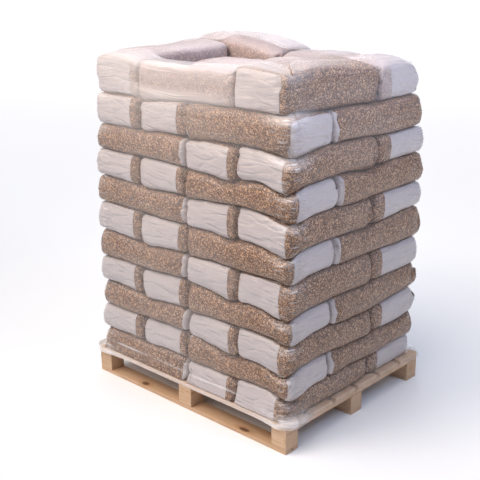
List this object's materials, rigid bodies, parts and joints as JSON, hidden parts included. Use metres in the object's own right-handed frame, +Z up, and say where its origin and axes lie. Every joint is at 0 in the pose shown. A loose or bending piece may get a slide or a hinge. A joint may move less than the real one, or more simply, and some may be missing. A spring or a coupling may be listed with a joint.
{
  "type": "pallet of sacks",
  "caption": "Block pallet loaded with layers of clear filled sacks, laid in alternating directions and wrapped in stretch film.",
  "frame": {"origin": "on the floor, under the middle of the pallet", "axes": "+Z up, +X along the pallet's long side, +Y along its short side"},
  "size_m": [1.2026, 1.0026, 1.607],
  "materials": {
    "pine": "rough sawn",
    "filled_sack": "clear film over light brown pellets, with a bare white panel at each end",
    "stretch_film": "clear and glossy"
  },
  "bodies": {
    "root": {"bottom_runner_1": "pine", "bottom_runner_2": "pine", "bottom_runner_3": "pine", "block_1_1": "pine", "block_1_2": "pine", "block_1_3": "pine", "block_2_1": "pine", "block_2_2": "pine", "block_2_3": "pine", "block_3_1": "pine", "block_3_2": "pine", "block_3_3": "pine", "cross_board_1": "pine", "cross_board_2": "pine", "cross_board_3": "pine", "deck_board_1": "pine", "deck_board_2": "pine", "deck_board_3": "pine", "deck_board_4": "pine", "deck_board_5": "pine", "deck_board_6": "pine", "sack_layer_01": "filled_sack", "sack_layer_02": "filled_sack", "sack_layer_03": "filled_sack", "sack_layer_04": "filled_sack", "sack_layer_05": "filled_sack", "sack_layer_06": "filled_sack", "sack_layer_07": "filled_sack", "sack_layer_08": "filled_sack", "sack_layer_09": "filled_sack", "sack_layer_10": "filled_sack", "sack_layer_11": "filled_sack", "stretch_film": "stretch_film"}
  },
  "joints": []
}
